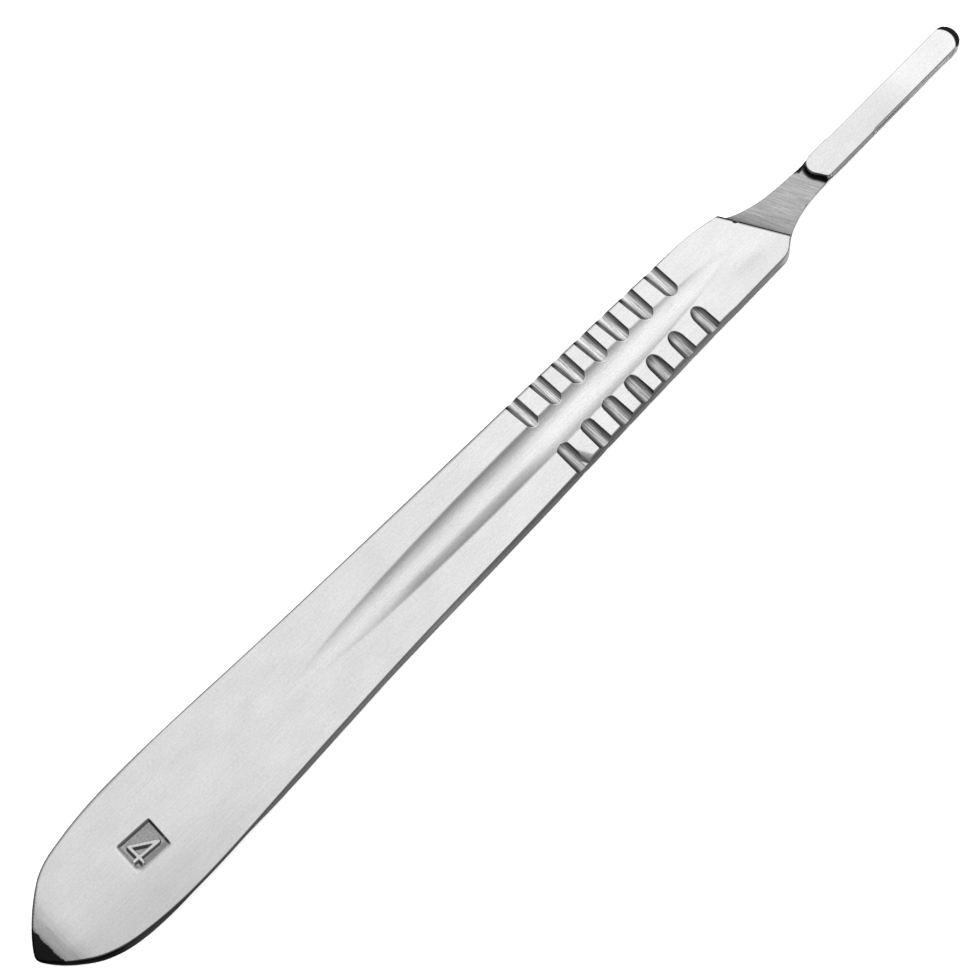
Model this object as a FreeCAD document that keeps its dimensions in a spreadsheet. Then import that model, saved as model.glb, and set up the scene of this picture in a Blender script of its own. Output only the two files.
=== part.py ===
import FreeCAD, Part
import math
import os
import Sketcher
from FreeCAD import Vector, Placement, Rotation

# Scalpel handle for detachable blades, forged and ground from one bar of
# steel: a flat waisted body with a pointed round butt, a long shallow
# flute and two rows of cross grooves on each face for the finger and thumb, a
# slanted step down to a thin neck, and the blade fitting: a thin tongue that
# carries a raised lug with a slot under each side.
#
# Frame: the handle lies on its back face at z = 0.  +X runs from the butt to
# the blade end, +Z is up through the face that carries the lug, and the origin
# is under the middle of the length, on the centre line of the blade fitting.
# All sizes are millimetres.

doc = FreeCAD.newDocument("scalpel_handle")

# ---------------------------------------------------------------- the sheet
sheet = doc.addObject("Spreadsheet::Sheet", "dims")
row = [0]


def cell(alias, value, note):
    row[0] += 1
    n = str(row[0])
    sheet.set("A" + n, alias)
    sheet.set("B" + n, repr(float(value)))
    sheet.set("C" + n, note)
    sheet.setAlias("B" + n, alias)


cell("body_thick", 3.0, "thickness of the body")
cell("seat_height", 0.75, "top of the neck and tongue, where the blade lies")
cell("lug_height", 1.85, "top of the lug above the back face")
cell("edge_round", 0.25, "rounding of the body's long edges")
cell("butt_x", -67.5, "end of the butt")
cell("nose_x", 67.5, "end of the tongue")
cell("butt_arc_start", -62.4, "where the butt's faces begin to round down")
cell("butt_arc_radius", 15.0, "radius of the butt's faces in side view")
cell("step_upper_x", 35.45, "slanted step, end on the +Y edge")
cell("step_upper_y", 3.71, "slanted step, end on the +Y edge")
cell("step_lower_x", 39.28, "slanted step, end on the -Y edge")
cell("step_lower_y", -3.33, "slanted step, end on the -Y edge")
cell("step_foot_round", 0.25, "round in the foot of the step")
cell("flute_radius", 4.30, "radius across the flute")
cell("flute_depth", 0.535, "deepest point of the flute")
cell("flute_x", 1.8, "where the flute is deepest")
cell("flute_y", 0.16, "centre line of the flute")
cell("flute_sweep", 950.0, "radius of the flute's run in side view")
cell("groove_depth", 0.40, "depth of the cross grooves where their ends begin")
cell("groove_fall", 2.4, "they deepen outwards by this many degrees")
cell("groove_slant", 2.6, "the +Y ones slant back by this many degrees in plan")
cell("groove_run", 1.70, "radius on which the middle of a groove's end runs up")
cell("panel_long", 4.60, "sunken panel, along the handle")
cell("panel_wide", 3.68, "sunken panel, across the handle")
cell("panel_depth", 0.28, "sunken panel, depth")
cell("panel_x", -51.90, "sunken panel, middle")
cell("panel_y", -0.24, "sunken panel, middle")
cell("panel_turn", -3.4, "sunken panel, turned by this many degrees")
cell("numeral_rise", 0.22, "height of the raised numeral above the panel")
cell("numeral_stroke", 0.38, "stroke width of the numeral")
cell("slot_height", 0.42, "height of the blade slots")
cell("web_half", 1.05, "half width of the web between the slots")
cell("slot_upper_start", 49.90, "where the +Y slot begins")
cell("slot_lower_start", 53.75, "where the -Y slot begins")
cell("lug_half_rear", 1.56, "half width of the lug's rear part")
cell("lug_half_front", 1.44, "half width of the lug's front part")
cell("tongue_half_rear", 1.62, "half width of the tongue at the neck")
cell("tongue_half_front", 1.51, "half width of the tongue at its end")
cell("nose_cone_x", 65.0, "centre of the bevel round the nose")
cell("nose_cone_top", 1.70, "bevel radius at the lug's top")
cell("nose_cone_low", 2.65, "bevel radius at its lower edge")
cell("nose_cone_drop", 1.02, "height of the bevel")
cell("nick_slope", 16.7, "slope of the nick beside the first -Y groove, degrees")
cell("chip_radius", 0.30, "radius of the chip in the step's edge")

# The outline in plan, as points on the two edges.  They differ by a few tenths,
# as hand ground edges do: x along the handle, y from the centre line.
UPPER = [(35.55, 3.68), (33.00, 4.20), (28.60, 4.56), (20.30, 4.88), (8.00, 5.23),
         (-4.60, 5.58), (-17.00, 5.93), (-29.10, 6.33), (-39.00, 6.78), (-48.30, 7.03),
         (-54.50, 6.81), (-57.60, 6.41), (-60.20, 5.85), (-61.70, 5.19), (-63.00, 4.31),
         (-64.30, 3.28), (-65.50, 2.18), (-66.50, 1.16), (-67.15, 0.34)]
LOWER = [(-67.15, -1.22), (-66.50, -2.08), (-65.50, -3.11), (-64.30, -4.10), (-63.00, -4.99),
         (-61.70, -5.62), (-60.20, -6.13), (-57.60, -6.61), (-54.50, -6.93),
         (-48.80, -7.03), (-39.00, -6.55), (-29.20, -6.04), (-17.00, -5.55), (-4.60, -5.27),
         (8.00, -4.98), (20.20, -4.67), (28.50, -4.52), (33.00, -4.47), (36.00, -4.44)]
for i, (x, y) in enumerate(UPPER):
    cell("upper_station_%02d_x" % (i + 1), x, "+Y edge, station")
    cell("upper_station_%02d_y" % (i + 1), y, "+Y edge, distance from the centre line")
for i, (x, y) in enumerate(LOWER):
    cell("lower_station_%02d_x" % (i + 1), x, "-Y edge, station")
    cell("lower_station_%02d_y" % (i + 1), y, "-Y edge, distance from the centre line")

# The cross grooves: where the rounded end of each begins and the radius across
# it.  They were ground one at a time, so they are not quite even.
GROOVES_UP = [(6.68, 2.34, 0.94), (10.04, 2.38, 1.01), (13.29, 2.16, 1.17), (16.53, 2.10, 1.17),
              (19.63, 2.13, 1.17), (22.98, 1.93, 1.17), (26.48, 1.98, 1.09)]
GROOVES_LOW = [(6.83, -2.39, 1.01), (10.29, -2.50, 1.07), (13.50, -2.44, 1.21), (16.66, -2.71, 1.17),
               (19.77, -2.89, 1.17), (23.08, -2.76, 1.09), (26.59, -2.62, 1.09)]
for i, (x, y, r) in enumerate(GROOVES_UP):
    cell("groove_up_%d_x" % (i + 1), x, "+Y cross groove, middle at its end")
    cell("groove_up_%d_y" % (i + 1), y, "+Y cross groove, where its end begins")
    cell("groove_up_%d_r" % (i + 1), r, "+Y cross groove, radius across")
for i, (x, y, r) in enumerate(GROOVES_LOW):
    cell("groove_low_%d_x" % (i + 1), x, "-Y cross groove, middle at its end")
    cell("groove_low_%d_y" % (i + 1), y, "-Y cross groove, where its end begins")
    cell("groove_low_%d_r" % (i + 1), r, "-Y cross groove, radius across")
doc.recompute()


def dim(alias):
    return float(sheet.get(alias))


T = dim("body_thick")
SEAT = dim("seat_height")
LUG = dim("lug_height")

# ---------------------------------------------------------------- helpers
blank = doc.addObject("PartDesign::Body", "blank")
blank.Label = "handle_blank"


def plane(role):
    for feature in blank.Origin.OriginFeatures:
        if feature.Role == role:
            return feature
    raise RuntimeError("no plane " + role)


def sketch(name, role="XY_Plane", lift=None):
    """A sketch on one of the body's own planes; lift is an expression for its height."""
    sk = blank.newObject("Sketcher::SketchObject", name)
    sk.AttachmentSupport = [(plane(role), "")]
    sk.MapMode = "FlatFace"
    if lift is not None:
        sk.setExpression(".AttachmentOffset.Base.z", lift)
    return sk


def V(x, y):
    return Vector(x, y, 0)


def seg(a, b):
    return Part.LineSegment(V(*a), V(*b))


def polygon(points):
    return [seg(a, b) for a, b in zip(points, points[1:] + points[:1])]


def add_loop(sk, pieces):
    """Add the pieces of one closed loop, each held where the sheet's sizes put it."""
    ids = [sk.addGeometry(g, False) for g in pieces]
    for k in ids:
        sk.addConstraint(Sketcher.Constraint("Block", k))
    return ids


def tip_volume():
    doc.recompute()
    tip = blank.Tip
    if "Invalid" in tip.State or "Error" in tip.State:
        raise RuntimeError("feature failed: " + tip.Name)
    return blank.Shape.Volume


def cut_feature(kind, name, profile, least, **props):
    """A pocket or groove that must really remove at least so many cubic millimetres."""
    before = tip_volume()
    feature = blank.newObject("PartDesign::" + kind, name)
    feature.Profile = profile
    if kind == "Pocket":
        feature.Type = 0
    for key, value in props.items():
        if isinstance(value, str):
            feature.setExpression(key, value)
        else:
            setattr(feature, key, value)
    after = tip_volume()
    if not after < before - least:
        raise RuntimeError("%s cut too little: %.3f to %.3f" % (name, before, after))
    return feature


def round_edges(name, test, alias):
    """Round the edges of the body so far that pass the test."""
    base = blank.Tip
    names = ["Edge%d" % (i + 1) for i, e in enumerate(base.Shape.Edges)
             if test(e, e.BoundBox, e.CenterOfMass)]
    if not names:
        raise RuntimeError("no edges for " + name)
    feature = blank.newObject("PartDesign::Fillet", name)
    feature.Base = (base, names)
    feature.setExpression("Radius", alias)
    tip_volume()
    return feature


def on_level(b, z):
    return abs(b.ZMin - z) < 1e-3 and abs(b.ZMax - z) < 1e-3


# ---------------------------------------------------------------- outline
up_pts = [(dim("upper_station_%02d_x" % (i + 1)), dim("upper_station_%02d_y" % (i + 1)))
          for i in range(len(UPPER))]
low_pts = [(dim("lower_station_%02d_x" % (i + 1)), dim("lower_station_%02d_y" % (i + 1)))
           for i in range(len(LOWER))]
tr, tf = dim("tongue_half_rear"), dim("tongue_half_front")
butt_tip = (dim("butt_x"), -0.43)
# The -Y front corner is rounded, then the edge runs in to the neck on a long hollow.
neck_low = [(36.90, -4.43), (37.45, -4.38), (37.95, -4.20), (38.42, -3.88), (39.00, -3.42),
            (39.55, -3.02), (40.35, -2.60), (41.40, -2.20), (42.50, -1.93), (43.50, -1.77),
            (44.60, -1.67), (46.50, -tr)]
side_low = [(x, -(tr + (tf - tr) * (x - 46.5) / 19.5)) for x in (49.0, 53.0, 57.0, 61.0, 64.0)]
nose = [(66.00, -tf), (66.62, -1.33), (67.12, -0.92), (67.41, -0.44), (dim("nose_x"), 0.05),
        (67.43, 0.60), (67.18, 1.06), (66.68, 1.40), (66.00, tf)]
side_up = [(x, -y) for x, y in reversed(side_low)]
neck_up = [(46.50, tr), (44.60, tr + 0.03), (42.60, 1.77), (41.00, 1.93), (39.45, 2.22),
           (38.37, 2.52), (37.33, 2.90), (36.70, 3.21), (36.42, 3.38), (36.05, 3.55)]
ring = up_pts + [butt_tip] + low_pts + neck_low + side_low + nose + side_up + neck_up
edge_line = Part.BSplineCurve()
edge_line.interpolate(Points=[V(*q) for q in ring], PeriodicFlag=True)
# One smooth closed line, laid into the sketch as a run of spans.
marks = [up_pts[0], up_pts[4], up_pts[8], up_pts[10], up_pts[14], butt_tip, low_pts[4],
         low_pts[8], low_pts[9], low_pts[13], low_pts[17], neck_low[2], neck_low[5],
         neck_low[-1], nose[0], nose[4], nose[-1], neck_up[0], neck_up[7]]
at = sorted(edge_line.parameter(V(*m)) for m in marks)
first, last = edge_line.FirstParameter, edge_line.LastParameter
if at[0] > first + 1e-6:
    at.insert(0, first)
at[0] = first
at.append(last)
outline = []
for t0, t1 in zip(at, at[1:]):
    piece = edge_line.copy()
    piece.segment(t0, t1)
    outline.append(piece)

sk_outline = sketch("outline")
add_loop(sk_outline, outline)
pad = blank.newObject("PartDesign::Pad", "plate")
pad.Profile = sk_outline
pad.setExpression("Length", "dims.body_thick")
doc.recompute()

# ---------------------------------------------------------------- butt
# Both faces round down to the butt on a large arc, leaving a blunt end.
xs, rb = dim("butt_arc_start"), dim("butt_arc_radius")
xe = dim("butt_x") - 1.0
sk_butt = sketch("butt_arcs", "XZ_Plane")
drop = rb - math.sqrt(rb * rb - (xs - xe) ** 2)
half = math.asin((xs - xe) / rb) / 2.0
for sgn, zc, zt in ((1, T - rb, T), (-1, rb, 0.0)):
    mid = (xs - rb * math.sin(half), zc + sgn * rb * math.cos(half))
    end = (xe, zt - sgn * drop)
    out = (xe, zt + sgn * 0.6)
    top = (xs, zt + sgn * 0.6)
    if sgn > 0:
        add_loop(sk_butt, [Part.Arc(V(xs, zt), V(*mid), V(*end)),
                           seg(end, out), seg(out, top), seg(top, (xs, zt))])
    else:
        add_loop(sk_butt, [Part.Arc(V(*end), V(*mid), V(xs, zt)),
                           seg((xs, zt), top), seg(top, out), seg(out, end)])
cut_feature("Pocket", "butt_rounding", sk_butt, 5.0, Length=20.0, Midplane=True)

# The long edges of both faces are rounded all the way round the outline.
round_edges("top_edges", lambda e, b, c: b.ZMin > T - 1.3 and b.XLength > 1e-3 and b.YLength > 1e-3
            or (on_level(b, T) and b.XLength > 1e-3), "dims.edge_round")
round_edges("bottom_edges", lambda e, b, c: b.ZMax < 1.3 and b.XLength > 1e-3 and b.YLength > 1e-3
            or (on_level(b, 0.0) and b.XLength > 1e-3), "dims.edge_round")

# ---------------------------------------------------------------- step, neck, lug
ax, ay = dim("step_upper_x"), dim("step_upper_y")
bx, by = dim("step_lower_x"), dim("step_lower_y")
run = math.hypot(bx - ax, by - ay)
ux, uy = (bx - ax) / run, (by - ay) / run
far_up = (ax - 3.0 * ux, ay - 3.0 * uy)
far_low = (bx + 3.0 * ux, by + 3.0 * uy)
front_region = [far_up, far_low, (72.0, far_low[1]), (72.0, far_up[1])]

sk_front = sketch("front_region", lift="dims.body_thick")
add_loop(sk_front, polygon(front_region))
cut_feature("Pocket", "front_down_to_lug", sk_front, 50.0,
            Length="dims.body_thick - dims.lug_height")

# The lug in plan: its rear end is cut on the same slant as the step and
# rounded on the +Y side; its rear part is a little wider than its front part.
lr, lf = dim("lug_half_rear"), dim("lug_half_front")
rear_pts = [(47.15, lr), (46.58, lr - 0.08), (46.16, 1.22), (45.90, 0.80), (45.86, 0.30),
            (45.98, -0.12), (46.27, -0.60), (46.66, -1.27), (46.95, -lr + 0.02)]
rear = Part.BSplineCurve()
rear.interpolate(Points=[V(*q) for q in rear_pts])
sk_lug = sketch("around_the_lug", lift="dims.lug_height")
add_loop(sk_lug, polygon(front_region))
add_loop(sk_lug, [rear] + [seg(a, b) for a, b in [
    ((46.95, -lr + 0.02), (53.60, -lr + 0.02)), ((53.60, -lr + 0.02), (53.85, -lf)),
    ((53.85, -lf), (70.0, -lf)), ((70.0, -lf), (70.0, lf)), ((70.0, lf), (49.75, lf)),
    ((49.75, lf), (49.50, lr)), ((49.50, lr), (47.15, lr))]])
cut_feature("Pocket", "seat_around_lug", sk_lug, 10.0, Length="dims.lug_height - dims.seat_height")

# The blade slots run under both sides of the lug and out at the nose.
wh = dim("web_half")
sk_slots = sketch("blade_slots", lift="dims.seat_height + dims.slot_height")
for start, sgn in ((dim("slot_upper_start"), 1), (dim("slot_lower_start"), -1)):
    add_loop(sk_slots, polygon([(start, sgn * wh), (69.0, sgn * wh), (69.0, sgn * 3.0),
                                (start, sgn * 3.0)]))
cut_feature("Pocket", "blade_slots_cut", sk_slots, 3.0, Length="dims.slot_height")

# The nose is bevelled all round so that a blade slides on.
cx, ct = dim("nose_cone_x"), dim("nose_cone_top")
cl, cd = dim("nose_cone_low"), dim("nose_cone_drop")
slope = (cl - ct) / cd
sk_nose = sketch("nose_bevel", "XZ_Plane")
add_loop(sk_nose, polygon([(cx + cl, LUG - cd), (cx + cl + 1.5, LUG - cd),
                           (cx + cl + 1.5, LUG + 0.5), (cx + ct - 0.5 * slope, LUG + 0.5)]))
sk_nose.addGeometry(seg((cx, 0.0), (cx, 4.0)), True)
cut_feature("Groove", "nose_bevel_cut", sk_nose, 0.5, ReferenceAxis=(sk_nose, ["Axis0"]),
            Angle=150.0, Midplane=True)

round_edges("step_foot", lambda e, b, c: on_level(b, SEAT) and b.YLength > 5 and 34 < c.x < 40,
            "dims.step_foot_round")

# ---------------------------------------------------------------- flutes
# A long hollow down the middle of each face, as a large wheel leaves it: an arc
# across, swept on a far larger arc along, so that it fades out at both ends.
rf, df, yf, sw = dim("flute_radius"), dim("flute_depth"), dim("flute_y"), dim("flute_sweep")
for name, sgn, zt in (("flute_top", 1, T), ("flute_back", -1, 0.0)):
    sk = sketch("sketch_" + name, "YZ_Plane", lift="dims.flute_x")
    zc = zt + sgn * (rf - df)
    lid = zt + sgn * 1.0
    hw = math.sqrt(rf * rf - (zc - lid) ** 2)
    a, m, b = (yf - hw, lid), (yf, zt - sgn * df), (yf + hw, lid)
    if sgn < 0:
        a, b = b, a
    add_loop(sk, [Part.Arc(V(*a), V(*m), V(*b)), seg(b, a)])
    za = zt - sgn * df + sgn * sw
    sk.addGeometry(seg((-20.0, za), (20.0, za)), True)
    cut_feature("Groove", name, sk, 20.0, ReferenceAxis=(sk, ["Axis0"]), Angle=5.0, Midplane=True)

# ---------------------------------------------------------------- sunken panel
# A small sunken panel near the butt holds a plain raised numeral for the size of
# the fitting, read from the butt's side.
pl, pw, turn = dim("panel_long"), dim("panel_wide"), math.radians(dim("panel_turn"))


def on_panel(a, b):
    return (dim("panel_x") + a * math.cos(turn) - b * math.sin(turn),
            dim("panel_y") + a * math.sin(turn) + b * math.cos(turn))


sk_panel = sketch("panel_outline", lift="dims.body_thick")
add_loop(sk_panel, polygon([on_panel(*q) for q in (
    (-pl / 2, -pw / 2), (pl / 2, -pw / 2), (pl / 2, pw / 2), (-pl / 2, pw / 2))]))
cut_feature("Pocket", "panel", sk_panel, 1.0, Length="dims.panel_depth")

st = dim("numeral_stroke") / 2.0
bar_a, stem_b = -1.10, -0.60
top_a, foot_a, left_b, right_b = 1.62, -1.72, 1.02, -1.24
# outer edge of the slanted stroke, from the bar's end to the stem's top
da, db = top_a - (bar_a + st), (stem_b + st - 0.08) - left_b
ln = math.hypot(da, db)
na, nb = db / ln * 2 * st, -da / ln * 2 * st
pa, pb = bar_a + st + na, left_b + nb
in_left = pb + db / da * (bar_a + st - pa)
in_top = pa + da / db * (stem_b + st - pb)
numeral = [(foot_a, stem_b + st), (bar_a - st, stem_b + st), (bar_a - st, left_b),
           (bar_a + st, left_b), (top_a, stem_b + st - 0.08), (top_a, stem_b - st),
           (bar_a + st, stem_b - st), (bar_a + st, right_b), (bar_a - st, right_b),
           (bar_a - st, stem_b - st), (foot_a, stem_b - st)]
hollow = [(bar_a + st, in_left), (in_top, stem_b + st), (bar_a + st, stem_b + st)]
sk_numeral = sketch("numeral_outline", lift="dims.body_thick - dims.panel_depth")
add_loop(sk_numeral, polygon([on_panel(*q) for q in numeral]))
add_loop(sk_numeral, polygon([on_panel(*q) for q in hollow]))
before = tip_volume()
raised = blank.newObject("PartDesign::Pad", "numeral")
raised.Profile = sk_numeral
raised.setExpression("Length", "dims.numeral_rise")
if not tip_volume() > before + 0.3:
    raise RuntimeError("the numeral added nothing")

# ---------------------------------------------------------------- cross grooves
# Round bottomed grooves, open at the edge, seven on each side of each face.  Each
# is a straight run that falls slightly outwards and an end that runs up on an arc.
cutters = []
fall, slant = math.radians(dim("groove_fall")), math.radians(dim("groove_slant"))
run_up = dim("groove_run")


def frame_of(x, y, z):
    """The turn that carries the three axes to these directions."""
    return Rotation(FreeCAD.Matrix(x.x, y.x, z.x, 0, x.y, y.y, z.y, 0, x.z, y.z, z.z, 0, 0, 0, 0, 1))


def bound(obj, where, shift):
    for axis, expr, extra in zip("xyz", where, shift):
        obj.setExpression("Placement.Base." + axis, "%s + %.9f" % (expr, extra) if extra else expr)


for face, level, sign, high in (("top", "dims.body_thick - dims.groove_depth", "+", 1),
                                ("back", "dims.groove_depth", "-", -1)):
    for side, count, out in (("up", len(GROOVES_UP), Vector(-math.sin(slant), math.cos(slant), 0)),
                             ("low", len(GROOVES_LOW), Vector(0, -1, 0))):
        face_up = Vector(0, 0, high)
        away = out * math.cos(fall) - face_up * math.sin(fall)
        above = face_up * math.cos(fall) + out * math.sin(fall)
        across = away.cross(above)
        for i in range(count):
            tag = "%s_%s_%d" % (face, side, i + 1)
            radius = "dims.groove_%s_%d_r" % (side, i + 1)
            where = ("dims.groove_%s_%d_x" % (side, i + 1), "dims.groove_%s_%d_y" % (side, i + 1),
                     "%s %s %s" % (level, sign, radius))
            rod = doc.addObject("Part::Cylinder", "groove_" + tag)
            rod.setExpression("Radius", radius)
            rod.Height = 8.0
            rod.Placement = Placement(Vector(0, 0, 0), frame_of(across, above * -1, away))
            bound(rod, where, (0, 0, 0))
            end = doc.addObject("Part::Torus", "groove_end_" + tag)
            end.setExpression("Radius1", "dims.groove_run")
            end.setExpression("Radius2", radius)
            end.Angle3 = 90.0
            end.Placement = Placement(Vector(0, 0, 0), frame_of(away * -1, above * -1, across))
            bound(end, where, above * run_up)
            cutters += [rod, end]

# A nick beside the first -Y groove and a small chip in the step's edge: use.
slope = math.radians(dim("nick_slope"))
na, nb = Vector(0.47, -0.883, 0), Vector(-0.883 * math.cos(slope), -0.47 * math.cos(slope), -math.sin(slope))
nc = na.cross(nb).normalize() * -1
turned = FreeCAD.Matrix(nb.x, na.x, nc.x, 7.68, nb.y, na.y, nc.y, -3.12, nb.z, na.z, nc.z, T - 0.02,
                        0, 0, 0, 1)
nick = doc.addObject("Part::Box", "nick_cutter")
nick.Length, nick.Width, nick.Height = 0.90, 2.60, 1.0
nick.Placement = Placement(turned)
chip = doc.addObject("Part::Sphere", "chip_cutter")
chip.setExpression("Radius", "dims.chip_radius")
chip.Placement = Placement(Vector(36.25, 1.98, T + 0.03), Rotation())
cutters += [nick, chip]

# One cut for each face, then the wear; a groove that is not really there stops
# the build.
solid = blank
for stage in ("top", "back", "wear"):
    tools = doc.addObject("Part::MultiFuse", "cutters_" + stage)
    tools.Shapes = [c for c in cutters if ("_" + stage + "_" in c.Name) or
                    (stage == "wear" and c in (nick, chip))]
    name = "scalpel_handle" if stage == "wear" else "handle_grooved_" + stage
    cut = doc.addObject("Part::Cut", name)
    cut.Label = name
    cut.Base = solid
    cut.Tool = tools
    doc.recompute()
    solid = cut
handle = solid
for face, z in (("top", T - 0.5 * dim("groove_depth")), ("back", 0.5 * dim("groove_depth"))):
    for side, count, sgn in (("up", len(GROOVES_UP), 1), ("low", len(GROOVES_LOW), -1)):
        for i in range(count):
            x = dim("groove_%s_%d_x" % (side, i + 1))
            for y in (2.6, 3.4, 4.2):
                if handle.Shape.isInside(Vector(x, sgn * y, z), 1e-4, False):
                    raise RuntimeError("cross groove %s %s %d was not cut" % (face, side, i + 1))

# ---------------------------------------------------------------- checks, export
for feature in doc.Objects:
    if "Invalid" in feature.State or "Error" in feature.State:
        raise RuntimeError("failed feature: %s %s" % (feature.Name, feature.State))
if handle.Shape.isNull() or not handle.Shape.isValid() or len(handle.Shape.Solids) != 1:
    raise RuntimeError("the handle's shape is not one valid solid")

os.makedirs("parts", exist_ok=True)
handle.Shape.exportStep("parts/scalpel_handle.step")
box = handle.Shape.BoundBox
print("scalpel_handle: volume %.1f mm3, mass %.1f g, faces %d" % (
    handle.Shape.Volume, handle.Shape.Volume * 0.0078, len(handle.Shape.Faces)))
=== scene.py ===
import bpy, bmesh, math
import numpy as np
from mathutils import Vector, Matrix
from mathutils.geometry import delaunay_2d_cdt


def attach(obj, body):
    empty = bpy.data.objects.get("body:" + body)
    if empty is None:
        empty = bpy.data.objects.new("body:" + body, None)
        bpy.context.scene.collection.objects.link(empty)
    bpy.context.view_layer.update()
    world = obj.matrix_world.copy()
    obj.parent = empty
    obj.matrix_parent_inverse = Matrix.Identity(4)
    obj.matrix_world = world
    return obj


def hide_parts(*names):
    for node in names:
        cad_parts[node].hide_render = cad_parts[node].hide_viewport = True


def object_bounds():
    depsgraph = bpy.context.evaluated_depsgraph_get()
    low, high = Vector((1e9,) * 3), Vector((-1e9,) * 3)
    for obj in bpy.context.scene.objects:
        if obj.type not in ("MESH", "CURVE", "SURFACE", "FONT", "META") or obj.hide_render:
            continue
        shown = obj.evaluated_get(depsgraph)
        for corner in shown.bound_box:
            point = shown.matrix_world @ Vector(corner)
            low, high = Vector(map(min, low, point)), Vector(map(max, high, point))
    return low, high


# Scalpel handle, lying on its back face.  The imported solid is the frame; a finer
# mesh of the same shape stands for it.  Sizes below are millimetres in the row
# frame: +X from the butt to the blade end, +Z up.
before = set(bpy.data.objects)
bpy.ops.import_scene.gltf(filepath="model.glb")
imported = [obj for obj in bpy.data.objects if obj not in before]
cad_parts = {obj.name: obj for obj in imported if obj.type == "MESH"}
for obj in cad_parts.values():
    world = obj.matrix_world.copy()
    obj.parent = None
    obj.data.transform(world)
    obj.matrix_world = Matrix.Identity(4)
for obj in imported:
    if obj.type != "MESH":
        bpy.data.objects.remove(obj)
box_lo, box_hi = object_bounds()
MM = 0.001

# ------------------------------------------------------------------ camera
look = Vector((-1.11, 0.91, 0.0)) * MM
tilt, lean, reach = math.radians(13.7), math.radians(-120.0), 0.445
eye = look + reach * Vector((math.sin(tilt) * math.cos(lean), math.sin(tilt) * math.sin(lean), math.cos(tilt)))
ahead = (look - eye).normalized()
turn = math.radians(44.54)
upward = Vector((math.cos(turn), math.sin(turn), 0.0))
upward = (upward - ahead * upward.dot(ahead)).normalized()
right = ahead.cross(upward)
cam = bpy.data.objects.new("camera", bpy.data.cameras.new("camera"))
bpy.context.scene.collection.objects.link(cam)
pose = Matrix((right, upward, -ahead)).transposed().to_4x4()
pose.translation = eye
cam.matrix_world = pose
cam.data.sensor_width = 36.0
cam.data.lens = 158.95
cam.data.clip_start, cam.data.clip_end = 0.01, 30.0
bpy.context.scene.camera = cam

# ------------------------------------------------------------------ sizes
T, SEAT, LUG = 3.0, 0.75, 1.85
EDGE = 0.25
BUTT_X, BUTT_R, BUTT_FACET = -62.4, 15.0, -65.62
STEP_A, STEP_B = (35.60, 3.71), (39.43, -3.33)
STEP_TOP, STEP_FOOT = 0.40, 0.25
FLUTE_R, FLUTE_D, FLUTE_X, FLUTE_Y, FLUTE_SWEEP = 4.30, 0.535, 1.8, 0.16, 950.0
GROOVE_D, GROOVE_RUN = 0.40, 1.70
FALL, SLANT = math.tan(math.radians(2.4)), math.tan(math.radians(2.6))
# where each cross groove's end begins, and the radius across it
UP = [(6.68, 2.34, 0.94), (10.04, 2.38, 1.01), (13.29, 2.16, 1.17), (16.53, 2.10, 1.17),
      (19.63, 2.13, 1.17), (22.98, 1.93, 1.17), (26.48, 1.98, 1.09)]
LOW = [(6.83, -2.39, 1.01), (10.29, -2.50, 1.07), (13.50, -2.44, 1.21), (16.66, -2.71, 1.17),
       (19.77, -2.89, 1.17), (23.08, -2.76, 1.09), (26.59, -2.62, 1.09)]
GROOVES = [(x, y, r, 1) for x, y, r in UP] + [(x, y, r, -1) for x, y, r in LOW]
NOSE_X, NOSE_TOP, NOSE_LOW, NOSE_DROP = 65.0, 1.70, 2.65, 1.02

UPPER = [(35.55, 3.68), (33.00, 4.20), (28.60, 4.56), (20.30, 4.88), (8.00, 5.23),
         (-4.60, 5.58), (-17.00, 5.93), (-29.10, 6.33), (-39.00, 6.78), (-48.30, 7.03),
         (-54.50, 6.81), (-57.60, 6.41), (-60.20, 5.85), (-61.70, 5.19), (-63.00, 4.31),
         (-64.30, 3.28), (-65.50, 2.18), (-66.50, 1.16), (-67.15, 0.34)]
LOWER = [(-67.15, -1.22), (-66.50, -2.08), (-65.50, -3.11), (-64.30, -4.10), (-63.00, -4.99),
         (-61.70, -5.62), (-60.20, -6.13), (-57.60, -6.61), (-54.50, -6.93),
         (-48.80, -7.03), (-39.00, -6.55), (-29.20, -6.04), (-17.00, -5.55), (-4.60, -5.27),
         (8.00, -4.98), (20.20, -4.67), (28.50, -4.52), (33.00, -4.47), (36.00, -4.44)]
TR, TF = 1.62, 1.51
NECK_LOW = [(36.90, -4.43), (37.45, -4.38), (37.95, -4.20), (38.42, -3.88), (39.00, -3.42),
            (39.55, -3.02), (40.35, -2.60), (41.40, -2.20), (42.50, -1.93), (43.50, -1.77),
            (44.60, -1.67), (46.50, -TR)]
SIDE_LOW = [(x, -(TR + (TF - TR) * (x - 46.5) / 19.5)) for x in (49.0, 53.0, 57.0, 61.0, 64.0)]
NOSE = [(66.00, -TF), (66.62, -1.33), (67.12, -0.92), (67.41, -0.44), (67.5, 0.05),
        (67.43, 0.60), (67.18, 1.06), (66.68, 1.40), (66.00, TF)]
NECK_UP = [(46.50, TR), (44.60, TR + 0.03), (42.60, 1.77), (41.00, 1.93), (39.45, 2.22),
           (38.37, 2.52), (37.33, 2.90), (36.70, 3.21), (36.42, 3.38), (36.05, 3.55)]
RING = (UPPER + [(-67.5, -0.43)] + LOWER + NECK_LOW + SIDE_LOW + NOSE
        + [(x, -y) for x, y in reversed(SIDE_LOW)] + NECK_UP)

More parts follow.
